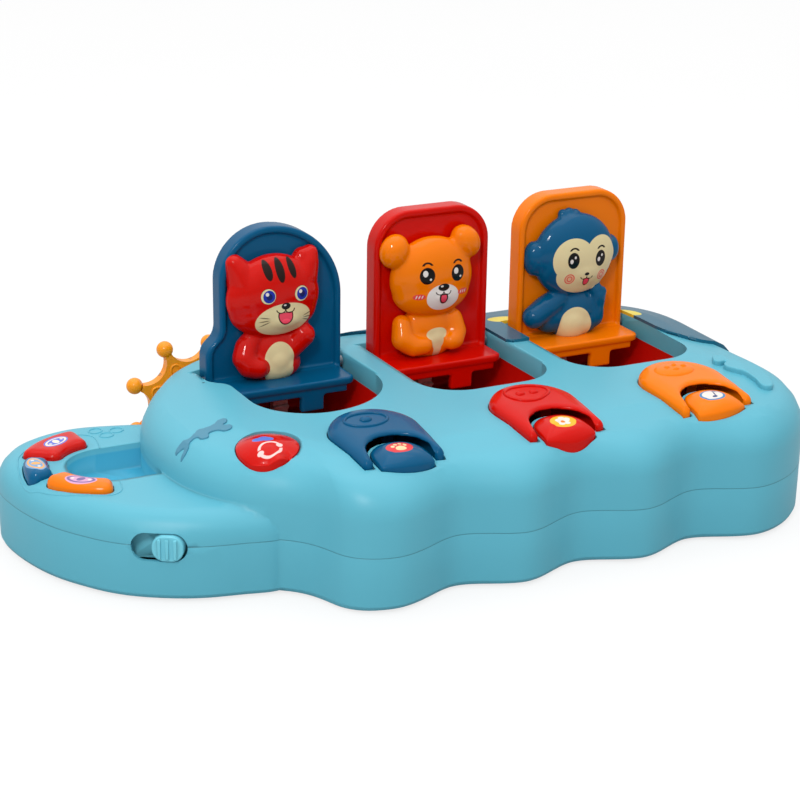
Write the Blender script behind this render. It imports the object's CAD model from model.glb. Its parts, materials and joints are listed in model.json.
"""Pop-up animal toy, dressed: moulded shells, glossy lids and keys, three printed animal figures.

Metres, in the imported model's own frame. Sizes in the tables are millimetres, times MM where they are used.
"""

import functools
import json
import math

import bmesh
import bpy
from bpy.props import FloatProperty, FloatVectorProperty, PointerProperty
from mathutils import Matrix, Vector
from mathutils.bvhtree import BVHTree
from mathutils.kdtree import KDTree


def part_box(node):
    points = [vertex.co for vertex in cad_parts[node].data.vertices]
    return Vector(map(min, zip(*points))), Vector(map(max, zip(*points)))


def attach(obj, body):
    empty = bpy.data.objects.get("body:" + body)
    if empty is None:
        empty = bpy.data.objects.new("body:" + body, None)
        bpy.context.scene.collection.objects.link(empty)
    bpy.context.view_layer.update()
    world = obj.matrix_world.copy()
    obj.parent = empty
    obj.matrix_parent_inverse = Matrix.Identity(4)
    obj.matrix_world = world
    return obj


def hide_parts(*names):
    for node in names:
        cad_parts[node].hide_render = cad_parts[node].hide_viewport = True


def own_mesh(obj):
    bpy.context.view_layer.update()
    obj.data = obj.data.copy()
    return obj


bl_info = {
    "name": "Pop-up animal toy",
    "version": (1, 0, 0),
    "blender": (4, 5, 0),
    "location": "3D View > Sidebar > Toy",
    "description": "Dresses the packed pop-up toy: mouldings, figures, prints and the studio",
    "category": "Object",
}

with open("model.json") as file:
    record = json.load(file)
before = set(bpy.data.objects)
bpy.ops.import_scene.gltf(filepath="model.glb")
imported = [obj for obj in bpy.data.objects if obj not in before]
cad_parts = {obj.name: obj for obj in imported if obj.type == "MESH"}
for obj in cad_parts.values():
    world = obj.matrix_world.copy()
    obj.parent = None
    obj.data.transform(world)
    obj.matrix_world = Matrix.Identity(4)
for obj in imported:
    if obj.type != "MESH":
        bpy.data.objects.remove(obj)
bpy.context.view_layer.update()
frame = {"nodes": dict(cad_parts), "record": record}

MM = 0.001
UP = Vector((0.0, 0.0, 1.0))
BODY_OF = {node: body for body, nodes in frame["record"]["behaviour"]["bodies"].items() for node in nodes}
LID_COLOURS = ("teal", "red", "orange")
SLOTS = {"teal": "blue_plastic", "red": "red_plastic", "orange": "orange_plastic"}


def middle_x(node):
    low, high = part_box(node)
    return (low.x + high.x) / 2 / MM


# The first lid bulges to one side, so its middle comes from the pitch of the other two.
DOOR_X = [2 * middle_x("lid_2") - middle_x("lid_3"), middle_x("lid_2"), middle_x("lid_3")]
KEY_X = [middle_x("release_key_%d" % number) for number in (1, 2, 3)]
SHELF_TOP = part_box("dog_figure")[0].z / MM
FIGURE_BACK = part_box("dog_figure")[1].y / MM
SEAM_HEIGHT = 26.5

# Radius of the arch in each key, and where its middle lies behind the key's front
KEY_ARCH = 15.0
KEY_ARCH_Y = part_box("release_key_1")[0].y / MM + 5.0

# Middle of the bowl in the snout as (x, y), and the height of its rim
BOWL = (-143.5, 13.5)
BOWL_RIM = 38.6

# Middle of the crown's front face, and the radii of the line on it at the tips and between them
CROWN_MIDDLE = (-71.1, 99.3, 32.8)
CROWN_RADII = (22.0, 15.5)
CROWN_FIRST_TIP = 23.5
CROWN_HALF_PITCH = 22.5
VENT = (-86.4, 41.9)
WHITE = (1.0, 1.0, 1.0, 1.0)

# Angles, in degrees, past which an edge shows as sharp
CRISP = 32.0
SHELL_CREASE = 40.0
COIL_CREASE = 50.0
ROUNDED = 60.0

# The camera, with its place in metres and its angles in radians
CAMERA_PLACE = (-0.42174, -0.81783, 0.38532)
CAMERA_YAW = 0.47367
CAMERA_PITCH = 0.34463
CAMERA_ROLL = 0.01536
FOCAL_PIXELS = 2042.38
PICTURE_PIXELS = 800
SENSOR = 36.0


def screen(red, green, blue):
    """Scene-linear colour of a colour given as 0 to 255 on a screen."""
    parts = [value / 255 for value in (red, green, blue)]
    return tuple(p / 12.92 if p <= 0.04045 else ((p + 0.055) / 1.055) ** 2.4 for p in parts)


# What a user would change

def colour_property(name, description, default):
    return FloatVectorProperty(name=name, description=description, default=default, subtype="COLOR",
                               size=3, min=0.0, max=1.0)


def length_property(name, description, default):
    return FloatProperty(name=name, description=description, default=default * MM, min=0.0,
                         subtype="DISTANCE", unit="LENGTH", precision=5)


class ToyColours(bpy.types.PropertyGroup):
    """Colours of the plastics and of the prints."""
    shell: colour_property("Shell", "Satin plastic of both shell halves", screen(90, 173, 193))
    knob: colour_property("Slide knob", "Plastic of the slide switch", screen(112, 196, 214))
    trim: colour_property("Spine plate", "Satin plastic of the spine plate", screen(20, 96, 122))
    teal: colour_property("Teal", "First lid, its key, and the monkey", screen(0, 82, 122))
    red: colour_property("Red", "Second lid, its key, and the cat", screen(200, 10, 0))
    orange: colour_property("Orange", "Third lid, its key, and the dog", screen(240, 120, 0))
    crown: colour_property("Crown", "Plastic of the crown", screen(250, 152, 14))
    cup: colour_property("Well cups", "Plastic of the cups in the wells", screen(180, 8, 0))
    cream: colour_property("Cream print", "Muzzle, face and bellies", screen(222, 206, 158))
    pale: colour_property("Pale print", "Dog's muzzle and the glints", screen(226, 218, 212))
    ink: colour_property("Ink", "Outlines, noses and stripes", screen(34, 18, 14))
    eye_blue: colour_property("Cat's iris", "Print in the cat's eyes", screen(22, 44, 156))
    tongue: colour_property("Mouth", "Print in the open mouths", screen(226, 70, 92))
    blush: colour_property("Blush", "Print on the cheeks", screen(222, 62, 66))
    yellow: colour_property("Yellow spots", "Spots on the spine plate", screen(232, 214, 60))
    mark: colour_property("Eye mark", "Raised sleepy eye on the head", screen(72, 135, 160))


class ToySizes(bpy.types.PropertyGroup):
    """Sizes of the details that the looks add."""
    print_edge: length_property("Print edge", "Width over which a print fades out", 0.18)
    figure_grid: length_property("Figure grid", "Mesh size of the figures", 0.75)
    lid_grid: length_property("Lid grid", "Mesh size of the lids", 0.6)
    relief_grid: length_property("Relief grid", "Mesh size of raised marks", 0.35)
    button_grid: length_property("Button grid", "Mesh size of keys and buttons", 0.55)
    seam_line: length_property("Seam line", "Visible width of the parting line", 0.4)
    mark_height: length_property("Mark height", "Raised eye above the head", 0.7)
    tail_height: length_property("Tail height", "Thickness of the leaves before they are rounded", 5.0)
    tail_grid: length_property("Tail grid", "Mesh size of the leaves", 0.5)


class ToyStudio(bpy.types.PropertyGroup):
    """Light and floor of the studio."""
    around: FloatProperty(name="Around", description="Light from all round", default=0.34, min=0.0)
    overhead: FloatProperty(name="Overhead", description="More light the higher it comes from", default=0.9,
                            min=0.0)
    behind: FloatProperty(name="Behind", description="More light the further back it comes from",
                          default=0.3, min=0.0)
    key_lamp: FloatProperty(name="Key lamp", description="Soft lamp above on the left, in watts",
                            default=7.0, min=0.0, subtype="POWER", unit="POWER")
    top_lamp: FloatProperty(name="Top lamp", description="Soft lamp overhead, in watts",
                            default=4.0, min=0.0, subtype="POWER", unit="POWER")


# Materials

class Value:
    """One output in a node tree; arithmetic on it adds Math nodes."""

    def __init__(self, nodes, socket):
        self.nodes = nodes
        self.socket = socket

    def math(self, operation, first, second=0.0):
        return self.nodes.node("ShaderNodeMath", {"operation": operation}, {0: first, 1: second})

    def __add__(self, other):
        return self.math("ADD", self, other)

    def __radd__(self, other):
        return self.math("ADD", other, self)

    def __sub__(self, other):
        return self.math("SUBTRACT", self, other)

    def __rsub__(self, other):
        return self.math("SUBTRACT", other, self)

    def __mul__(self, other):
        return self.math("MULTIPLY", self, other)

    def __rmul__(self, other):
        return self.math("MULTIPLY", other, self)

    def __truediv__(self, other):
        return self.math("DIVIDE", self, other)

    def __abs__(self):
        return self.math("ABSOLUTE", self)

    def either(self, other):
        return self.math("MAXIMUM", self, other)


class Nodes:
    """A node tree being built: node() adds any node and gives one of its outputs."""

    def __init__(self, tree):
        self.tree = tree
        tree.nodes.clear()

    def node(self, kind, settings=None, values=None, output=0):
        node = self.tree.nodes.new(kind)
        for name, setting in (settings or {}).items():
            setattr(node, name, setting)
        for name, value in (values or {}).items():
            if isinstance(value, Value):
                self.tree.links.new(value.socket, node.inputs[name])
            else:
                node.inputs[name].default_value = value
        return Value(self, node.outputs[output])

    def end(self, kind, surface):
        target = self.tree.nodes.new(kind)
        self.tree.links.new(surface.socket, target.inputs["Surface"])


class Finish(Nodes):
    """A material being made: layer() paints over the colour so far."""

    def __init__(self, name):
        self.material = bpy.data.materials.new(name)
        self.material.use_nodes = True
        super().__init__(self.material.node_tree)
        self.place = self.node("ShaderNodeTexCoord", output="Object")
        self.colour = None

    def noise(self, scale, detail):
        return self.node("ShaderNodeTexNoise",
                         values={"Vector": self.place, "Scale": scale, "Detail": detail, "Roughness": 0.5})

    def blend(self, mask, below, above):
        return self.node("ShaderNodeMix", {"data_type": "RGBA"}, {0: mask, 6: solid(below), 7: solid(above)},
                         output=2)

    def layer(self, mask, colour):
        self.colour = self.blend(mask, self.colour, colour)

    def shine(self, roughness, bump, **constants):
        """Ends the material in a Principled shader; bump is a height in metres."""
        normal = self.node("ShaderNodeBump", values={"Height": bump, "Distance": 1.0, "Strength": 1.0})
        values = {"Base Color": self.colour, "Roughness": roughness, "Normal": normal}
        values.update({name.replace("_", " "): value for name, value in constants.items()})
        self.end("ShaderNodeOutputMaterial", self.node("ShaderNodeBsdfPrincipled", values=values))
        return self.material


def solid(colour):
    """A colour with its alpha, or a node's output as it is."""
    return colour if isinstance(colour, Value) else (colour[0], colour[1], colour[2], 1.0)


def dimmed(colour, share):
    return tuple(part * share for part in colour[:3])


def colours():
    return bpy.context.scene.toy_colours


def sizes():
    return bpy.context.scene.toy_sizes


class Canvas:
    """Flat drawing on a piece, in millimetres from a middle point.

    It lies across X and, as up says, along Z for a piece seen from the front or Y for one seen from above.
    """

    def __init__(self, finish, middle, up="Z"):
        self.finish = finish
        self.soft = sizes().print_edge / MM
        across = finish.node("ShaderNodeSeparateXYZ", values={0: finish.place}, output="X")
        along = Value(finish, across.socket.node.outputs[up])
        across = (across - middle[0] * MM) / MM
        self.up = (along - middle[1] * MM) / MM
        self.point = finish.node("ShaderNodeCombineXYZ", values={0: across, 1: self.up})

    def local(self, u, v, half_u, half_v, turn):
        """Point in an oval's own frame, where the oval is the unit circle."""
        return self.finish.node("ShaderNodeMapping", {"vector_type": "TEXTURE"},
                                {"Vector": self.point, "Location": (u, v, 0.0),
                                 "Rotation": (0.0, 0.0, math.radians(turn)),
                                 "Scale": (half_u, half_v, 1.0)})

    def reach(self, u, v, half_u, half_v, turn=0.0):
        return self.finish.node("ShaderNodeVectorMath", {"operation": "LENGTH"},
                                {0: self.local(u, v, half_u, half_v, turn)}, output="Value")

    def edge(self, inside):
        """Mask that is 1 where inside, in millimetres, is above zero."""
        return self.finish.node("ShaderNodeMath", {"operation": "MULTIPLY_ADD", "use_clamp": True},
                                {0: inside, 1: 1.0 / self.soft, 2: 0.5})

    def oval(self, u, v, half_u, half_v, turn=0.0):
        return self.edge((1.0 - self.reach(u, v, half_u, half_v, turn)) * min(half_u, half_v))

    def ovals(self, *each):
        """Mask of several ovals together."""
        return functools.reduce(Value.either, [self.oval(*oval) for oval in each])

    def paint(self, colour, *oval):
        self.finish.layer(self.oval(*oval), colour)

    def ring(self, u, v, half_u, half_v, width, turn=0.0):
        off = abs(self.reach(u, v, half_u, half_v, turn) - 1.0) * min(half_u, half_v)
        return self.edge(width / 2 - off)

    def above(self, line):
        return self.edge(self.up - line)

    def below(self, line):
        return self.edge(line - self.up)


def plastic(name, colour, roughness, coat=0.0, draw=None, waviness=0.012, speckle=0.03, specular=0.3):
    """Moulded plastic: slightly uneven in colour and gloss, faintly wavy, with what draw() prints on it."""
    known = bpy.data.materials.get(name)
    if known:
        return known
    finish = Finish(name)
    cloud = finish.noise(28.0, 3.0)
    grain = finish.noise(2600.0, 2.0)
    finish.colour = finish.blend(cloud, dimmed(colour, 1.0 - speckle), dimmed(colour, 1.0 + speckle))
    height = finish.noise(150.0, 1.0) * (waviness * MM) + grain * (0.0016 * MM)
    rough = roughness + (cloud - 0.5) * 0.08 + (grain - 0.5) * 0.05
    if draw:
        extra = draw(finish)
        if extra is not None:
            height = height + extra
    return finish.shine(rough, height, Coat_Weight=coat, Coat_Roughness=0.08, Specular_IOR_Level=specular)


def metal(name, colour, roughness):
    """Bare metal with fine drawn lines and a little tarnish."""
    known = bpy.data.materials.get(name)
    if known:
        return known
    finish = Finish(name)
    tarnish = finish.noise(180.0, 4.0)
    finish.colour = finish.blend(tarnish, dimmed(colour, 0.82), colour)
    lines = finish.noise(3000.0, 1.0)
    return finish.shine(roughness + tarnish * 0.15, lines * (0.002 * MM), Metallic=1.0)


# Pieces

def piece(name, mesh, body, material, stands_for=(), sharp=ROUNDED):
    """Object at the origin that rides on a body, with smooth faces and sharp edges by angle."""
    thing = bpy.data.objects.new(name, mesh)
    bpy.context.scene.collection.objects.link(thing)
    mesh.materials.clear()
    mesh.materials.append(material)
    for face in mesh.polygons:
        face.use_smooth = True
        face.material_index = 0
    mesh.set_sharp_from_angle(angle=math.radians(sharp))
    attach(thing, body)
    if stands_for:
        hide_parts(*stands_for)
    return thing


def mesh_from(build, name):
    mesh = bpy.data.meshes.new(name)
    build.to_mesh(mesh)
    build.free()
    return mesh


def closed_mesh(build, name):
    """The mesh with its faces turned outwards."""
    bmesh.ops.recalc_face_normals(build, faces=build.faces)
    return mesh_from(build, name)


def stand_in(node, mesh, material, sharp):
    return piece(node + "_moulding", mesh, BODY_OF[node], material, (node,), sharp)


def moulding(node, material, sharp=CRISP):
    """The CAD node's own shape with its triangles joined up, so that it shades smoothly."""
    build = bmesh.new()
    build.from_mesh(frame["nodes"][node].data)
    bmesh.ops.remove_doubles(build, verts=build.verts, dist=0.02 * MM)
    bmesh.ops.dissolve_degenerate(build, dist=0.01 * MM, edges=build.edges)
    thing = stand_in(node, mesh_from(build, node), material, sharp)
    even = thing.modifiers.new("even_shading", "WEIGHTED_NORMAL")
    even.keep_sharp = True
    even.mode = "FACE_AREA_WITH_ANGLE"
    return thing


def softened(node, material):
    """The CAD node's shape with its edges slightly rounded, as a glossy moulding has them."""
    build = melted(frame["nodes"][node].data.copy(), sizes().lid_grid, 4)
    return stand_in(node, closed_mesh(build, node), material, ROUNDED)


def outline_of(node, height):
    """Points along the widest closed outline of a CAD node at a height in millimetres."""
    build = bmesh.new()
    build.from_mesh(frame["nodes"][node].data)
    bmesh.ops.remove_doubles(build, verts=build.verts, dist=0.002 * MM)
    geometry = build.verts[:] + build.edges[:] + build.faces[:]
    cut = bmesh.ops.bisect_plane(build, geom=geometry, dist=1e-7, plane_co=(0.0, 0.0, height * MM),
                                 plane_no=(0.0, 0.0, 1.0))["geom_cut"]
    left = {item for item in cut if isinstance(item, bmesh.types.BMEdge)}
    widest = []
    while left:
        chain = [left.pop()]
        for edge in chain:
            for vertex in edge.verts:
                for other in vertex.link_edges:
                    if other in left:
                        left.remove(other)
                        chain.append(other)
        if span_of(chain) > span_of(widest):
            widest = chain
    points = []
    spacing = 0.4 * MM
    for edge in widest:
        start, end = (vertex.co for vertex in edge.verts)
        count = max(1, round((end - start).length / spacing))
        points += [start.lerp(end, step / count).xy.to_3d() for step in range(count)]
    build.free()
    return points


def span_of(edges):
    across = [vertex.co.x for edge in edges for vertex in edge.verts]
    return max(across) - min(across) if across else 0.0


def rim_heights(points):
    """Height of the shell just outside each point of an outline, or 0 where there is none."""
    shell = surface_of(frame["nodes"]["top_shell"])
    reach = 1.1 * MM
    heights = []
    for point in points:
        near = []
        for step in range(8):
            angle = math.pi * step / 4
            start = point + UP + Vector((math.cos(angle), math.sin(angle), 0.0)) * reach
            spot = shell.ray_cast(start, -UP)[0]
            near.append(spot.z if spot else 0.0)
        heights.append(max(near))
    return heights


def pillowed(node, material, slot, height, bulge, wall, squat=1.0, small=None):
    """The CAD node's shape, its top rounded off over bulge millimetres in from its outline.

    Nothing below the shell round it moves. wall is the share of the height that stays upright. small is
    (x, y, reach, bulge) for a stretch of outline that is rounded off over less.
    """
    build = melted(frame["nodes"][node].data.copy(), sizes().button_grid, 2)
    points = outline_of(node, height)
    groups = {}
    for point, foot in zip(points, rim_heights(points)):
        if not foot:
            continue
        near = small and math.hypot(point.x / MM - small[0], point.y / MM - small[1]) < small[2]
        groups.setdefault(small[3] if near else bulge, []).append((point, foot))
    trees = []
    for reach, group in groups.items():
        tree = KDTree(len(group))
        for index, (point, _) in enumerate(group):
            tree.insert(point, index)
        tree.balance()
        trees.append((reach * MM, tree, [foot for _, foot in group]))
    for vertex in build.verts:
        flat = vertex.co.xy.to_3d()
        share, closest, foot = 1.0, math.inf, 0.0
        for reach, tree, feet in trees:
            _, index, away = tree.find(flat)
            if away < closest:
                closest, foot = away, feet[index]
            inward = min(1.0, away / reach)
            share = min(share, wall + (1.0 - wall) * math.sqrt(1.0 - (1.0 - inward) ** 2))
        if vertex.co.z > foot:
            vertex.co.z = foot + (vertex.co.z - foot) * share * squat
    soften(build, 3)
    return stand_in(node, closed_mesh(build, node), material, ROUNDED)


def soften(build, rounds):
    for _ in range(rounds):
        bmesh.ops.smooth_vert(build, verts=build.verts, factor=0.5, use_axis_x=True, use_axis_y=True,
                              use_axis_z=True)


def melted(mesh, grid, rounds):
    """Mesh joined into one skin on a grid, then smoothed."""
    holder = bpy.data.objects.new("melting", mesh)
    bpy.context.scene.collection.objects.link(holder)
    remesh = holder.modifiers.new("join", "REMESH")
    remesh.mode = "VOXEL"
    remesh.voxel_size = grid
    shown = holder.evaluated_get(bpy.context.evaluated_depsgraph_get())
    build = bmesh.new()
    build.from_mesh(shown.to_mesh())
    shown.to_mesh_clear()
    bpy.data.objects.remove(holder)
    bpy.data.meshes.remove(mesh)
    soften(build, rounds)
    return build


def trimmed(build, point, normal):
    """Cuts away what lies beyond a plane and closes the cut."""
    geometry = build.verts[:] + build.edges[:] + build.faces[:]
    bmesh.ops.bisect_plane(build, geom=geometry, dist=1e-6, plane_co=point, plane_no=normal, clear_outer=True)
    rim = [edge for edge in build.edges if edge.is_boundary]
    filled = bmesh.ops.edgeloop_fill(build, edges=rim)["faces"]
    bmesh.ops.triangulate(build, faces=filled)


class Clay:
    """Lumps and limbs that melt into one figure on a lid."""

    def __init__(self, middle):
        self.build = bmesh.new()
        self.middle = middle
        ball = bmesh.new()
        bmesh.ops.create_uvsphere(ball, u_segments=36, v_segments=24, radius=1.0)
        self.ball = mesh_from(ball, "ball")

    def lump(self, u, v, half_u, half_v, depth, out=0.0, turn=0.0):
        place = Matrix.Translation(((self.middle + u) * MM, (FIGURE_BACK - out) * MM, (SHELF_TOP + v) * MM))
        turned = Matrix.Rotation(math.radians(-turn), 4, "Y")
        scale = Matrix.Diagonal((half_u * MM, depth * MM, half_v * MM, 1.0))
        shaped = self.ball.copy()
        shaped.transform(place @ turned @ scale)
        self.build.from_mesh(shaped)
        bpy.data.meshes.remove(shaped)

    def limb(self, *stations):
        """Chain of balls through (u, v, out, radius) stations."""
        for start, end in zip(stations, stations[1:]):
            for step in range(7):
                share = step / 6
                u, v, out, radius = [a + (b - a) * share for a, b in zip(start, end)]
                self.lump(u, v, radius, radius, radius, out)

    def fired(self, name):
        build = melted(mesh_from(self.build, name), sizes().figure_grid, 5)
        trimmed(build, (0.0, FIGURE_BACK * MM, 0.0), (0.0, 1.0, 0.0))
        trimmed(build, (0.0, 0.0, SHELF_TOP * MM), (0.0, 0.0, -1.0))
        return closed_mesh(build, name)


def outline_slab(loops, thickness):
    """Flat slab inside closed smooth outlines given in millimetres."""
    curve = bpy.data.curves.new("outline", "CURVE")
    curve.dimensions = "2D"
    curve.fill_mode = "BOTH"
    curve.extrude = thickness / 2
    for loop in loops:
        add_loop(curve, [(x, y, 0.0) for x, y in loop], True)
    return curve_mesh(curve)


def add_loop(curve, points, closed):
    spline = curve.splines.new("BEZIER")
    spline.bezier_points.add(len(points) - 1)
    for knot, (x, y, z) in zip(spline.bezier_points, points):
        knot.co = (x * MM, y * MM, z * MM)
        knot.handle_left_type = knot.handle_right_type = "AUTO"
    spline.use_cyclic_u = closed
    spline.resolution_u = 10


def curve_mesh(curve):
    holder = bpy.data.objects.new("outline", curve)
    bpy.context.scene.collection.objects.link(holder)
    shown = holder.evaluated_get(bpy.context.evaluated_depsgraph_get())
    mesh = bpy.data.meshes.new_from_object(shown)
    bpy.data.objects.remove(holder)
    bpy.data.curves.remove(curve)
    return mesh


def bead(points, radius, closed=True):
    """Round bead along smooth points in millimetres."""
    curve = bpy.data.curves.new("bead", "CURVE")
    curve.dimensions = "3D"
    curve.bevel_depth = radius * MM
    curve.bevel_resolution = 3
    curve.use_fill_caps = not closed
    add_loop(curve, points, closed)
    return curve_mesh(curve)


def surface_of(thing):
    build = bmesh.new()
    build.from_mesh(thing.data)
    tree = BVHTree.FromBMesh(build)
    build.free()
    return tree


def laid(mesh, tree, grid=None, rounds=2):
    """The mesh, drawn at height 0, laid on a surface from above."""
    if grid:
        build = melted(mesh, grid, rounds)
    else:
        build = bmesh.new()
        build.from_mesh(mesh)
        bpy.data.meshes.remove(mesh)
    for vertex in build.verts:
        spot = tree.ray_cast(Vector((vertex.co.x, vertex.co.y, 0.0)) + UP, -UP)[0]
        if spot is None:
            raise RuntimeError("nothing under a raised mark at (%.4f, %.4f)" % tuple(vertex.co[:2]))
        vertex.co.z += spot.z
    return closed_mesh(build, "laid")


def oval_points(x, y, half_x, half_y, turn=0.0):
    """Sixteen points round an oval at height 0."""
    lean = math.radians(turn)
    points = []
    for step in range(16):
        angle = math.pi * step / 8
        across, along = half_x * math.cos(angle), half_y * math.sin(angle)
        points.append((x + across * math.cos(lean) - along * math.sin(lean),
                       y + across * math.sin(lean) + along * math.cos(lean), 0.0))
    return points


def boss(x, y, half_x, half_y, rise):
    """Low round boss at height 0."""
    build = bmesh.new()
    size = Matrix.Diagonal((half_x * MM, half_y * MM, rise * MM, 1.0))
    place = Matrix.Translation((x * MM, y * MM, 0.0)) @ size
    bmesh.ops.create_uvsphere(build, u_segments=24, v_segments=12, radius=1.0, matrix=place)
    return mesh_from(build, "boss")


def merged(meshes):
    build = bmesh.new()
    for mesh in meshes:
        build.from_mesh(mesh)
        bpy.data.meshes.remove(mesh)
    return mesh_from(build, "merged")


# Finishes of this toy

def shell_marks(finish):
    """Parting line round the toy and a pin-prick vent beside the first lid."""
    side = Canvas(finish, (0.0, SEAM_HEIGHT))
    top = Canvas(finish, VENT, "Y")
    line = side.edge(sizes().seam_line / MM / 2 - abs(side.up))
    vent = top.oval(0.0, 0.0, 0.7, 0.7)
    finish.layer(top_of_bowl(finish) * 0.55, screen(0, 150, 192))
    finish.layer(line * 0.7, dimmed(colours().shell, 0.5))
    finish.layer(vent * 0.9, dimmed(colours().shell, 0.1))
    return line.either(vent) * (-0.1 * MM)


def top_of_bowl(finish):
    """Mask of the bowl in the snout, which is moulded glossier and looks deeper in colour."""
    top = Canvas(finish, BOWL, "Y")
    side = Canvas(finish, (0.0, BOWL_RIM))
    return top.oval(6.0, 0.0, 30.0, 26.0) * side.edge(side.up * -0.2)


def shell_finish():
    return plastic("shell satin", colours().shell, 0.4, draw=shell_marks, waviness=0.01)


def gloss(which):
    return plastic(which + " gloss", getattr(colours(), which), 0.22, coat=0.08, specular=0.12)


def trim_spots(finish):
    """Yellow spots printed on the spine plate."""
    top = Canvas(finish, (0.0, 0.0), "Y")
    spots = top.ovals((92.0, 66.0, 9.0, 5.5, -20.0), (157.5, 50.0, 8.0, 5.0, -50.0), (46.0, 92.0, 9.0, 5.0))
    finish.layer(spots, colours().yellow)


def paint_mouth(face, rim, rim_top, inside, inside_top):
    """Open mouth: a dark oval and a red one inside it, each cut off by a level line."""
    face.finish.layer(face.oval(*rim) * face.below(rim_top), colours().ink)
    face.finish.layer(face.oval(*inside) * face.below(inside_top), colours().tongue)


def paint_lips(face, left, right, ring, line):
    """Two arcs that hang below a line; ring is (half_u, half_v, width)."""
    arcs = face.ring(*left, *ring).either(face.ring(*right, *ring)) * face.below(line)
    face.finish.layer(arcs, colours().ink)


def paint_brow(face, u, v, half_u, half_v, line):
    """Arc that rises above a line over an eye."""
    face.finish.layer(face.ring(u, v, half_u, half_v, 0.9) * face.above(line), colours().ink)


def cat_prints(finish):
    """Eyes, muzzle, whiskers, forehead stripes and belly of the cat."""
    face = Canvas(finish, (DOOR_X[0], SHELF_TOP))
    c = colours()
    paw = face.oval(-16.0, 6.8, 5.9, 5.6)
    finish.layer(face.ovals((-4.8, 9.6, 7.8, 9.4), (-4.8, 4.0, 7.6, 7.0)) * (1.0 - paw), c.cream)
    face.paint(c.cream, -3.5, 31.0, 14.6, 8.3, 4.0)
    for stripe in ((-11.0, 55.6, 2.1, 4.8, 12.0), (-4.8, 55.2, 2.2, 5.8, 8.0), (1.7, 55.6, 1.9, 5.0, 14.0)):
        face.paint(c.ink, *stripe)
    for u, v in ((-11.7, 43.5), (5.9, 43.0)):
        face.paint(c.ink, u, v, 3.9, 3.9)
        face.paint(c.cream, u, v, 3.7, 3.7)
        face.paint(c.eye_blue, u + 0.4, v - 0.1, 3.0, 3.1)
        face.paint(dimmed(c.eye_blue, 0.3), u + 0.5, v - 0.2, 1.5, 1.6)
        face.paint(c.pale, u - 0.5, v + 1.1, 0.9, 0.9)
    paint_mouth(face, (-2.9, 33.2, 4.0, 4.5), 34.9, (-2.9, 33.2, 3.4, 3.9), 34.6)
    face.paint(dimmed(c.tongue, 1.3), -2.9, 30.6, 2.2, 1.2)
    paint_lips(face, (-5.2, 36.6), (-0.6, 36.4), (2.4, 1.9, 0.5), 36.4)
    face.paint(c.ink, -2.7, 37.9, 2.4, 1.7)
    face.paint(c.pale, -3.2, 38.4, 0.7, 0.4)
    whiskers = [(u, v, 2.6, 0.28, turn) for u, v, turn in (
        (-13.6, 32.9, -10.0), (-13.7, 31.2, 6.0), (-13.4, 29.6, 24.0),
        (9.6, 32.3, 16.0), (9.8, 30.6, -2.0), (9.4, 29.0, -20.0))]
    finish.layer(face.ovals(*whiskers) * 0.8, dimmed(c.ink, 2.0))


def dog_prints(finish):
    """Eyes, brows, muzzle, cheeks and belly of the dog."""
    face = Canvas(finish, (DOOR_X[1], SHELF_TOP))
    c = colours()
    finish.layer(face.ovals((-1.0, 11.9, 5.9, 3.2), (-0.9, 8.6, 3.6, 5.0), (-0.7, 3.5, 2.2, 6.0)), c.cream)
    face.paint(c.pale, 0.6, 31.6, 9.2, 6.9, -2.0)
    for u, v, half_u in ((-8.4, 43.5, 3.8), (8.9, 43.2, 3.6)):
        face.paint(dimmed(c.ink, 1.6), u, v, half_u + 0.25, 4.25)
        face.paint(dimmed(c.ink, 0.1), u, v, half_u, 3.95)
        face.paint(c.pale, u - 1.0, v + 1.2, 1.35, 1.6)
        face.paint(c.pale, u + 1.7, v - 1.9, 0.6, 0.6)
        paint_brow(face, u + 0.3, v + 4.6, 2.4, 1.8, v + 5.0)
    paint_mouth(face, (0.6, 31.6, 2.4, 3.3), 33.6, (0.6, 31.4, 1.6, 2.3), 33.0)
    paint_lips(face, (-1.5, 34.9), (2.7, 34.7), (2.1, 1.6, 0.45), 34.8)
    face.paint(dimmed(c.ink, 0.4), 0.7, 36.9, 3.2, 1.9)
    face.paint(c.pale, -0.3, 37.5, 0.8, 0.5)
    for u, v in ((-12.4, 32.9), (12.6, 33.0)):
        finish.layer(face.oval(u, v, 3.3, 1.5) * 0.95, c.blush)
        dashes = [(u + shift, v, 0.28, 0.9, -25.0) for shift in (-1.5, 0.0, 1.5)]
        finish.layer(face.ovals(*dashes), c.pale)


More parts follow.
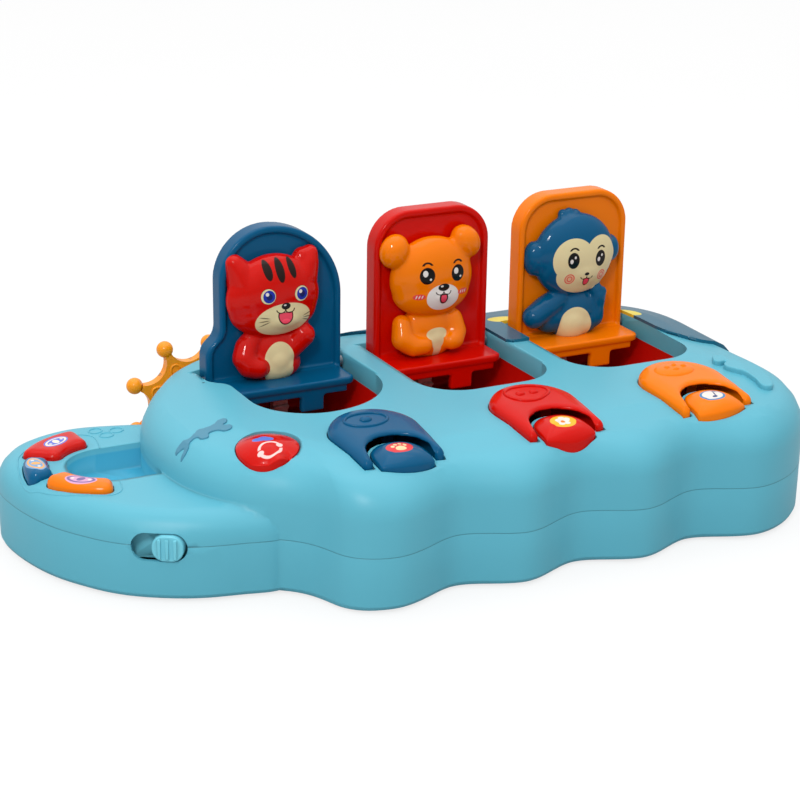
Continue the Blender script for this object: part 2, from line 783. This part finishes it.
def monkey_prints(finish):
    """Face, eyes, spiral cheeks and belly of the monkey."""
    face = Canvas(finish, (DOOR_X[2], SHELF_TOP))
    c = colours()
    face.paint(c.cream, -2.0, 5.2, 9.2, 10.6)
    plate = face.ovals((0.9, 33.6, 15.9, 10.5), (-5.8, 42.0, 11.6, 11.3), (10.4, 42.0, 10.4, 11.3))
    hand = face.oval(13.2, 20.0, 6.4, 6.4)
    finish.layer(plate * (1.0 - hand), c.cream)
    for u, v in ((-6.4, 41.8), (10.2, 41.3)):
        face.paint(dimmed(c.ink, 2.0), u, v, 3.3, 4.3)
        face.paint(dimmed(c.ink, 0.1), u - 0.1, v, 3.05, 4.05)
        face.paint(c.pale, u - 1.1, v - 0.4, 0.9, 1.2)
        face.paint(c.pale, u + 0.9, v + 1.6, 0.6, 0.7)
        paint_brow(face, u + 0.4, v + 4.5, 2.3, 1.9, v + 5.1)
    paint_mouth(face, (1.8, 30.4, 2.0, 3.0), 31.7, (1.8, 30.3, 1.5, 2.4), 31.4)
    paint_lips(face, (0.1, 32.6), (3.5, 32.5), (1.8, 1.3, 0.4), 32.6)
    face.paint(c.ink, 1.8, 34.0, 1.4, 0.9)
    for u, v in ((-7.8, 31.9), (12.0, 31.9)):
        for radius in (2.5, 1.3):
            finish.layer(face.ring(u, v, radius, radius, 0.6) * 0.85, c.blush)
        finish.layer(face.oval(u, v, 2.4, 2.4) * 0.25, c.blush)


def paw_print(finish):
    """Cream paw on a pale red field."""
    top = Canvas(finish, (KEY_X[0] - 0.4, -80.0), "Y")
    top.paint(screen(214, 60, 66), 0.0, 0.0, 6.2, 5.0)
    toes = [(u, v, 0.85, 1.1) for u, v in ((-2.8, 0.9), (-1.0, 2.3), (1.2, 2.4), (3.0, 1.0))]
    finish.layer(top.ovals((0.2, -1.4, 2.5, 1.9), *toes), colours().cream)


def flower_print(finish):
    """White flower on a yellow field."""
    top = Canvas(finish, (KEY_X[1] - 0.2, -81.0), "Y")
    top.paint(screen(242, 178, 40), 0.0, 0.0, 6.2, 5.2)
    angles = [math.radians(72 * step + 90) for step in range(5)]
    petals = [(2.3 * math.cos(angle), 2.0 * math.sin(angle), 1.5, 1.3) for angle in angles]
    finish.layer(top.ovals((0.0, 0.0, 1.4, 1.4), *petals), colours().pale)
    top.paint(screen(226, 120, 30), 0.0, 0.0, 1.1, 1.0)


def note_print(finish):
    """White disc in a blue ring, with a music note."""
    top = Canvas(finish, (KEY_X[2] - 0.4, -80.5), "Y")
    top.paint(screen(70, 130, 176), 0.0, 0.0, 6.4, 5.2)
    top.paint(colours().pale, 0.0, 0.0, 5.2, 4.1)
    note = top.ovals((1.4, 0.6, 0.35, 2.6), (0.3, -1.8, 1.4, 1.0, 15.0), (2.4, 2.4, 1.3, 0.5, -25.0))
    finish.layer(note, screen(50, 70, 120))


def swap_print(finish):
    """Blue cloud and two chasing arrows on the mode button."""
    top = Canvas(finish, (-92.6, -50.2), "Y")
    cloud = top.ovals((-1.6, 6.4, 3.2, 2.0, -25.0), (1.6, 5.4, 3.0, 2.2, -25.0), (0.4, 7.2, 2.2, 1.7))
    finish.layer(cloud, screen(84, 120, 206))
    upper = top.ring(0.0, -1.6, 4.8, 3.6, 1.0) * top.above(-0.9)
    lower = top.ring(0.0, -2.2, 4.8, 3.6, 1.0) * top.below(-2.9)
    heads = top.ovals((4.7, -1.3, 1.5, 1.1), (-4.7, -2.5, 1.5, 1.1))
    finish.layer(upper.either(lower).either(heads) * 0.85, screen(244, 214, 210))


def music_prints(middle, patch, marks, turn):
    """Oval patch with a band and dots."""
    def draw(finish):
        top = Canvas(finish, middle, "Y")
        top.paint(patch, 0.0, 0.0, 7.4, 4.2, turn)
        finish.layer(top.ring(0.0, 0.0, 6.0, 3.0, 0.7, turn), marks)
        top.paint(marks, 0.0, 0.0, 2.2, 1.6, turn + 60)
        lean = math.radians(turn)
        for reach in (-4.0, 4.0):
            top.paint(colours().pale, reach * math.cos(lean), reach * math.sin(lean), 0.8, 0.8)
    return draw


# Raised marks and figures

def eye_outline():
    """Outline of the sleepy eye with its forked lashes."""
    return [(-122.8, -15.6), (-118.5, -13.0), (-116.2, -14.2), (-113.0, -13.2), (-110.0, -10.6),
            (-105.8, -10.8), (-101.8, -9.8), (-98.6, -7.4), (-95.6, -8.6), (-96.6, -12.0),
            (-99.0, -13.6), (-96.4, -16.0), (-97.0, -19.2), (-100.4, -19.8), (-103.4, -16.6),
            (-107.0, -16.8), (-109.0, -20.6), (-112.2, -20.2), (-113.2, -17.0), (-116.4, -17.4),
            (-118.6, -20.4), (-122.4, -21.4), (-119.6, -17.8)]


def snout_beads():
    """Nostril rings, and the line round the buttons, which is given as angle and radius about the bowl."""
    beads = [bead(oval_points(x, y, 3.4, 3.0, turn=30), 0.45)
             for x, y in ((-136.0, 57.0), (-133.0, 49.6), (-126.6, 54.0))]
    line = [(-141.6, 34.2, 0.0), (-140.2, 40.0, 0.0), (-140.6, 52.0, 0.0)]
    for angle, radius in ((100, 43.2), (115, 43.8), (130, 44.0), (145, 43.6), (152, 42.6), (160, 41.6),
                          (175, 41.2), (188, 40.8), (196, 39.2), (210, 38.6), (225, 38.2), (240, 37.8),
                          (252, 37.2), (259, 33.0), (261, 27.0), (262, 21.6)):
        lean = math.radians(angle)
        line.append((BOWL[0] + radius * math.cos(lean), BOWL[1] + radius * math.sin(lean), 0.0))
    return beads + [bead(line, 0.35, closed=False)]


def tail_outlines():
    """A small and a large leaf."""
    return [[(152.0, -40.0), (153.0, -35.0), (157.0, -30.6), (161.0, -31.0), (161.4, -36.0), (157.0, -39.6)],
            [(152.4, -46.0), (156.0, -41.6), (162.0, -38.0), (168.0, -38.6), (171.4, -46.0), (170.0, -56.0),
             (166.0, -66.0), (160.6, -73.6), (156.6, -73.0), (157.4, -64.0), (156.6, -55.0), (153.6, -50.0)]]


def ring_badge(x):
    """Ring with a boss in its middle."""
    return [bead(oval_points(x - 2.4, -50.6, 10.2, 6.6), 0.8), boss(x - 2.4, -50.6, 3.0, 2.2, 1.3)]


def shield_badge(x):
    """Rounded three-cornered ring with two bosses."""
    corners = ((-11.6, -48.0), (-8.0, -43.6), (0.0, -42.6), (8.0, -45.0), (10.0, -50.0), (5.0, -55.6),
               (-2.4, -58.0), (-9.0, -55.0))
    return [bead([(x + across, y, 0.0) for across, y in corners], 0.8),
            boss(x - 4.4, -49.4, 2.4, 1.8, 1.0), boss(x + 2.6, -49.6, 2.4, 1.8, 1.0)]


def dome_badge(x):
    """Low dome with a ring and four bosses."""
    return [boss(x - 1.6, -50.2, 10.8, 7.0, 1.5), bead(oval_points(x - 1.6, -50.2, 9.0, 5.4), 0.6),
            boss(x - 5.4, -49.4, 1.9, 1.5, 2.2), boss(x - 0.6, -48.0, 1.9, 1.5, 2.2),
            boss(x + 3.6, -50.0, 1.9, 1.5, 2.2), boss(x - 2.0, -52.4, 2.6, 1.2, 2.1)]


def figure(name, clay, which, draw):
    """The finished animal, in place of its CAD node."""
    finish = plastic(name + " gloss", getattr(colours(), which), 0.12, coat=0.22, draw=draw, waviness=0.02,
                     specular=0.12)
    node = name + "_figure"
    piece(name, clay.fired(name), BODY_OF[node], finish, (node,))


# Operators

class TOY_OT_shell(bpy.types.Operator):
    """Both shell halves, with the marks that are moulded into them"""
    bl_idname = "toy.shell"
    bl_label = "Shell"

    def execute(self, context):
        finish = shell_finish()
        top = moulding("top_shell", finish, SHELL_CREASE)
        moulding("bottom_tray", finish, SHELL_CREASE)
        tree = surface_of(top)
        mark = laid(outline_slab([eye_outline()], 2 * sizes().mark_height), tree, sizes().relief_grid)
        ink = plastic("eye mark", colours().mark, 0.4)
        piece("eye_mark", mark, "case", ink, sharp=CRISP)
        piece("snout_lines", laid(merged(snout_beads()), tree), "case", finish)
        tail = laid(outline_slab(tail_outlines(), sizes().tail_height), tree, sizes().tail_grid, 6)
        piece("tail_relief", tail, "case", finish)
        return {"FINISHED"}


class TOY_OT_spine_plate(bpy.types.Operator):
    """Dark plate over the rear of the back, with its printed spots"""
    bl_idname = "toy.spine_plate"
    bl_label = "Spine plate"

    def execute(self, context):
        finish = plastic("spine satin", colours().trim, 0.32, coat=0.1, draw=trim_spots)
        moulding("spine_trim", finish)
        return {"FINISHED"}


class TOY_OT_crown(bpy.types.Operator):
    """Crown behind the head, with the raised line that follows its edge"""
    bl_idname = "toy.crown"
    bl_label = "Crown"

    def execute(self, context):
        finish = plastic("crown gloss", colours().crown, 0.26, coat=0.2)
        moulding("crown", finish)
        x, y, z = CROWN_MIDDLE
        points = []
        for step in range(9):
            angle = math.radians(CROWN_FIRST_TIP + CROWN_HALF_PITCH * step)
            radius = CROWN_RADII[step % 2]
            points.append((x + radius * math.cos(angle), y, z + radius * math.sin(angle)))
        piece("crown_line", bead(points, 0.7, closed=False), "case", finish)
        return {"FINISHED"}


class TOY_OT_wells(bpy.types.Operator):
    """Red cups under the three wells"""
    bl_idname = "toy.wells"
    bl_label = "Well cups"

    def execute(self, context):
        finish = plastic("cup satin", colours().cup, 0.4)
        for number in (1, 2, 3):
            moulding("well_cup_%d" % number, finish)
        return {"FINISHED"}


class TOY_OT_lids(bpy.types.Operator):
    """The three lids"""
    bl_idname = "toy.lids"
    bl_label = "Lids"

    def execute(self, context):
        for number, which in enumerate(LID_COLOURS, 1):
            softened("lid_%d" % number, gloss(which))
        return {"FINISHED"}


class TOY_OT_cat(bpy.types.Operator):
    """Cat on the first lid: round head, pointed ears, one paw on its belly and one raised"""
    bl_idname = "toy.cat"
    bl_label = "Cat"

    def execute(self, context):
        clay = Clay(DOOR_X[0])
        clay.lump(-5.7, 40.7, 24.2, 20.4, 9.5, 4.0)
        clay.lump(-5.7, 34.5, 22.8, 13.8, 9.5, 4.0)
        clay.lump(-5.7, 45.2, 20.4, 16.8, 9.2, 3.8)
        clay.limb((-20.4, 49.0, 2.0, 8.0), (-22.4, 54.6, 2.0, 6.4), (-24.6, 58.6, 2.0, 4.6))
        clay.limb((10.4, 49.0, 2.0, 8.0), (12.6, 55.0, 2.0, 6.4), (14.4, 59.4, 2.0, 4.4))
        clay.limb((8.0, 54.0, 2.0, 5.0), (10.6, 58.4, 2.0, 4.6))
        clay.lump(-3.6, 31.0, 13.8, 7.2, 8.6, 5.4)
        clay.lump(-5.4, 12.0, 14.8, 13.0, 9.0, 1.6)
        clay.lump(-5.4, 5.6, 15.0, 8.4, 9.4, 1.6)
        clay.lump(-4.8, 9.0, 9.0, 9.6, 8.6, 3.0)
        clay.limb((-15.6, 20.4, 2.6, 5.2), (-19.4, 16.4, 3.6, 5.8), (-21.0, 11.6, 5.0, 6.2),
                  (-19.0, 8.0, 6.4, 6.2), (-15.6, 6.9, 7.8, 5.6))
        clay.limb((1.6, 11.6, 4.6, 5.2), (9.6, 20.0, 6.0, 5.8))
        figure("cat", clay, "red", cat_prints)
        return {"FINISHED"}


class TOY_OT_dog(bpy.types.Operator):
    """Dog on the second lid: drooping ears and both paws folded in front"""
    bl_idname = "toy.dog"
    bl_label = "Dog"

    def execute(self, context):
        clay = Clay(DOOR_X[1])
        clay.lump(-1.9, 40.3, 22.8, 21.0, 9.5, 4.0)
        clay.lump(-1.9, 33.6, 21.4, 13.6, 9.5, 4.0)
        clay.lump(-22.6, 55.6, 7.6, 8.9, 6.5, 4.0, turn=-20.0)
        clay.lump(17.2, 56.6, 7.4, 9.2, 6.5, 4.0, turn=36.0)
        clay.lump(0.5, 32.0, 8.6, 6.2, 8.6, 5.6)
        clay.lump(-3.2, 12.6, 15.4, 12.0, 8.6, 1.6)
        clay.lump(-3.2, 6.0, 16.0, 8.4, 9.0, 1.6)
        clay.lump(-1.0, 9.0, 9.0, 8.0, 8.4, 2.6)
        clay.limb((-17.6, 17.0, 3.6, 5.0), (-18.0, 10.0, 6.0, 6.0), (-13.4, 6.6, 8.4, 5.4),
                  (-8.2, 6.6, 9.2, 4.8))
        clay.limb((11.2, 17.0, 3.6, 5.0), (11.8, 10.5, 5.4, 5.8), (9.8, 7.2, 8.0, 5.2), (7.8, 6.8, 9.2, 4.6))
        figure("dog", clay, "orange", dog_prints)
        return {"FINISHED"}


class TOY_OT_monkey(bpy.types.Operator):
    """Monkey on the third lid: tufted head, round ears, one fist low and one hand waving"""
    bl_idname = "toy.monkey"
    bl_label = "Monkey"

    def execute(self, context):
        clay = Clay(DOOR_X[2])
        clay.lump(-1.2, 42.3, 23.6, 22.2, 9.8, 4.0)
        clay.lump(0.8, 35.6, 15.6, 11.8, 8.8, 5.0)
        clay.lump(-23.8, 42.2, 5.2, 9.2, 6.0, 2.0)
        clay.lump(22.0, 43.0, 4.6, 7.4, 6.0, 2.0)
        for u, v, radius in ((-7.4, 64.0, 2.6), (-3.6, 64.6, 2.6), (0.2, 63.8, 2.4)):
            clay.lump(u, v, radius, radius, radius, 2.0)
        clay.lump(0.6, 10.0, 15.6, 14.0, 9.6, 2.0)
        clay.lump(1.4, 6.4, 15.6, 9.0, 9.6, 2.4)
        clay.lump(-2.0, 6.5, 10.4, 10.6, 9.4, 3.5)
        clay.lump(-13.0, 9.4, 9.0, 8.4, 8.0, 2.0)
        clay.limb((-9.0, 19.0, 3.0, 6.0), (-16.5, 15.4, 4.0, 6.6), (-23.6, 11.4, 4.6, 6.2))
        clay.limb((11.0, 8.0, 6.0, 5.8), (12.2, 14.0, 6.0, 5.0), (13.0, 19.0, 6.2, 4.8))
        for u, v in ((10.4, 22.2), (13.2, 23.0), (15.8, 21.4)):
            clay.lump(u, v, 2.1, 2.8, 2.4, 7.4)
        figure("monkey", clay, "teal", monkey_prints)
        return {"FINISHED"}


class TOY_OT_keys(bpy.types.Operator):
    """Release keys, with the raised badge on each"""
    bl_idname = "toy.keys"
    bl_label = "Release keys"

    def execute(self, context):
        for number, (which, badge) in enumerate(zip(LID_COLOURS, (ring_badge, shield_badge, dome_badge)), 1):
            key_x = KEY_X[number - 1]
            arch = (key_x, KEY_ARCH_Y, KEY_ARCH + 0.8, 2.2)
            key = pillowed("release_key_%d" % number, gloss(which), SLOTS[which], height=61.0, bulge=9.0,
                           wall=0.3, small=arch)
            relief = laid(merged(badge(key_x)), surface_of(key))
            piece("key_badge_%d" % number, relief, "key_%d" % number, gloss(which))
        return {"FINISHED"}


class TOY_OT_buttons(bpy.types.Operator):
    """Sound buttons in front of the keys, mode button and snout buttons"""
    bl_idname = "toy.buttons"
    bl_label = "Buttons"

    def execute(self, context):
        c = colours()
        for number, (which, draw) in enumerate(zip(LID_COLOURS, (paw_print, flower_print, note_print)), 1):
            finish = plastic("sound button %d" % number, getattr(c, which), 0.22, coat=0.12, specular=0.12,
                             draw=draw)
            pillowed("sound_button_%d" % number, finish, SLOTS[which], height=60.0, bulge=5.5, wall=0.45,
                     squat=0.85)
        finish = plastic("mode button", c.red, 0.22, coat=0.14, specular=0.12, draw=swap_print)
        pillowed("mode_button", finish, "red_plastic", height=62.0, bulge=10.0, wall=0.25)
        for which, colour, middle, patch, marks, turn in (
                ("red", c.red, (-160.4, 41.0), screen(92, 112, 204), screen(236, 222, 206), 35.0),
                ("blue", dimmed(c.teal, 1.2), (-177.0, 18.5), screen(120, 160, 200), screen(232, 168, 96),
                 95.0),
                ("orange", c.orange, (-164.6, -8.0), screen(212, 160, 196), screen(120, 96, 150), -40.0)):
            finish = plastic("snout button " + which, colour, 0.18, coat=0.2, specular=0.12,
                             draw=music_prints(middle, patch, marks, turn))
            pillowed("music_button_" + which, finish, which + "_plastic", height=40.6, bulge=5.0, wall=0.3)
        return {"FINISHED"}


class TOY_OT_switch(bpy.types.Operator):
    """Slide switch: ribbed knob, and the switch behind it"""
    bl_idname = "toy.switch"
    bl_label = "Slide switch"

    def execute(self, context):
        moulding("switch_knob", plastic("knob satin", colours().knob, 0.34))
        moulding("switch_body", plastic("switch black", screen(14, 40, 66), 0.5))
        return {"FINISHED"}


class TOY_OT_hardware(bpy.types.Operator):
    """Springs, pins, screws, feet, boards, speaker and battery compartment"""
    bl_idname = "toy.hardware"
    bl_label = "Hardware"

    def execute(self, context):
        c = colours()
        steel = metal("spring steel", screen(190, 192, 196), 0.28)
        zinc = metal("zinc plate", screen(176, 178, 176), 0.34)
        nickel = metal("nickel plate", screen(204, 200, 188), 0.24)
        rubber = plastic("foot rubber", screen(58, 60, 62), 0.72, speckle=0.08)
        laminate = plastic("board laminate", screen(24, 112, 62), 0.4, speckle=0.06)
        sleeve = plastic("cell sleeve", screen(62, 66, 76), 0.3, coat=0.3)
        off_white = plastic("inner plastic", screen(224, 222, 214), 0.45)
        black = plastic("speaker black", screen(40, 40, 42), 0.5)
        for number in (1, 2, 3):
            spring = moulding("key_spring_%d" % number, steel, COIL_CREASE)
            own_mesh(spring)
            moulding("latch_bar_%d" % number, off_white)
        for node, finish, slot in (
                ("lid_springs", steel, "spring_steel"), ("hinge_pins", steel, "pin_steel"),
                ("case_screws", zinc, "screw_steel"), ("battery_door_screw", zinc, "screw_steel"),
                ("rubber_feet", rubber, "foot_rubber"), ("sound_switches", laminate, "board_laminate"),
                ("mode_switch", laminate, "board_laminate"), ("music_switches", laminate, "board_laminate"),
                ("main_board", laminate, "board_laminate"), ("battery_cells", sleeve, "cell_case"),
                ("battery_contacts", nickel, "contact_plate"), ("speaker", black, "speaker_body"),
                ("battery_door", shell_finish(), "shell_plastic")):
            moulding(node, finish)
        return {"FINISHED"}


class TOY_OT_studio(bpy.types.Operator):
    """Pale floor, plain soft light and the camera"""
    bl_idname = "toy.studio"
    bl_label = "Studio"

    def execute(self, context):
        scene = context.scene
        studio = scene.toy_studio
        scene.view_settings.view_transform = "Standard"
        build = bmesh.new()
        bmesh.ops.create_grid(build, x_segments=8, y_segments=8, size=6.0)
        floor = bpy.data.objects.new("floor", mesh_from(build, "floor"))
        scene.collection.objects.link(floor)
        paper = Finish("floor paper")
        paper.colour = paper.blend(paper.noise(4.0, 3.0), (0.86, 0.86, 0.86), (0.9, 0.9, 0.9))
        glow = paper.node("ShaderNodeEmission", values={"Color": WHITE, "Strength": 1.0})
        paths = paper.node("ShaderNodeLightPath", output="Is Camera Ray")
        paper.colour = paper.blend(paths, (0.5, 0.5, 0.5), paper.colour)
        matt = paper.node("ShaderNodeBsdfPrincipled", values={"Base Color": paper.colour, "Roughness": 0.9})
        mixed = paper.node("ShaderNodeMixShader", values={0: paths * 0.78, 1: matt, 2: glow})
        paper.end("ShaderNodeOutputMaterial", mixed)
        floor.data.materials.append(paper.material)
        self.light(scene, studio)
        self.aim(scene)
        return {"FINISHED"}

    def light(self, scene, studio):
        """Sky that is brighter overhead and behind and white to the camera, and two soft lamps."""
        world = bpy.data.worlds.new("studio")
        scene.world = world
        world.use_nodes = True
        sky = Nodes(world.node_tree)
        direction = sky.node("ShaderNodeTexCoord", output="Generated")
        depth = sky.node("ShaderNodeSeparateXYZ", values={0: direction}, output="Y")
        height = sky.node("ShaderNodeSeparateXYZ", values={0: direction}, output="Z")
        strength = height.either(0.0) * studio.overhead + studio.around + depth.either(0.0) * studio.behind
        soft = sky.node("ShaderNodeBackground", values={"Color": WHITE, "Strength": strength})
        bare = sky.node("ShaderNodeBackground", values={"Color": WHITE})
        paths = sky.node("ShaderNodeLightPath", output="Is Camera Ray")
        sky.end("ShaderNodeOutputWorld", sky.node("ShaderNodeMixShader", values={0: paths, 1: soft, 2: bare}))
        target = Vector((0.0, 0.0, 0.05))
        for name, power, size, place in (("key_lamp", studio.key_lamp, 0.22, Vector((-0.75, -0.85, 0.95))),
                                         ("top_lamp", studio.top_lamp, 1.2, Vector((0.1, 0.1, 1.35)))):
            lamp = bpy.data.lights.new(name, "AREA")
            lamp.energy = power
            lamp.size = size
            holder = bpy.data.objects.new(name, lamp)
            holder.location = place
            holder.rotation_euler = (target - place).to_track_quat("-Z", "Y").to_euler()
            scene.collection.objects.link(holder)

    def aim(self, scene):
        yaw, pitch, roll = CAMERA_YAW, CAMERA_PITCH, CAMERA_ROLL
        ahead = Vector((math.sin(yaw) * math.cos(pitch), math.cos(yaw) * math.cos(pitch), -math.sin(pitch)))
        level = Vector((math.cos(yaw), -math.sin(yaw), 0.0))
        upright = level.cross(ahead)
        right = level * math.cos(roll) + upright * math.sin(roll)
        up = upright * math.cos(roll) - level * math.sin(roll)
        turned = Matrix((right, up, -ahead)).transposed().to_4x4()
        lens = bpy.data.cameras.new("camera")
        lens.sensor_width = SENSOR
        lens.lens = FOCAL_PIXELS / PICTURE_PIXELS * SENSOR
        camera = bpy.data.objects.new("camera", lens)
        camera.matrix_world = Matrix.Translation(CAMERA_PLACE) @ turned
        scene.collection.objects.link(camera)
        scene.camera = camera


OPERATORS = (TOY_OT_shell, TOY_OT_spine_plate, TOY_OT_crown, TOY_OT_wells, TOY_OT_lids, TOY_OT_cat,
             TOY_OT_dog, TOY_OT_monkey, TOY_OT_keys, TOY_OT_buttons, TOY_OT_switch, TOY_OT_hardware,
             TOY_OT_studio)


class TOY_PT_pieces(bpy.types.Panel):
    """Pieces of the toy, and the sizes and colours behind them"""
    bl_idname = "TOY_PT_pieces"
    bl_label = "Pop-up animal toy"
    bl_space_type = "VIEW_3D"
    bl_region_type = "UI"
    bl_category = "Toy"

    def draw(self, context):
        for operator in OPERATORS:
            self.layout.operator(operator.bl_idname)
        for group in (context.scene.toy_colours, context.scene.toy_sizes, context.scene.toy_studio):
            box = self.layout.box()
            for name in group.__annotations__:
                box.prop(group, name)


CLASSES = (ToyColours, ToySizes, ToyStudio) + OPERATORS + (TOY_PT_pieces,)


def register():
    for item in CLASSES:
        bpy.utils.register_class(item)
    bpy.types.Scene.toy_colours = PointerProperty(type=ToyColours)
    bpy.types.Scene.toy_sizes = PointerProperty(type=ToySizes)
    bpy.types.Scene.toy_studio = PointerProperty(type=ToyStudio)


def unregister():
    del bpy.types.Scene.toy_studio
    del bpy.types.Scene.toy_sizes
    del bpy.types.Scene.toy_colours
    for item in reversed(CLASSES):
        bpy.utils.unregister_class(item)


def main():
    register()
    bpy.ops.toy.shell()
    bpy.ops.toy.spine_plate()
    bpy.ops.toy.crown()
    bpy.ops.toy.wells()
    bpy.ops.toy.lids()
    bpy.ops.toy.cat()
    bpy.ops.toy.dog()
    bpy.ops.toy.monkey()
    bpy.ops.toy.keys()
    bpy.ops.toy.buttons()
    bpy.ops.toy.switch()
    bpy.ops.toy.hardware()
    bpy.ops.toy.studio()


if __name__ == "__main__":
    main()
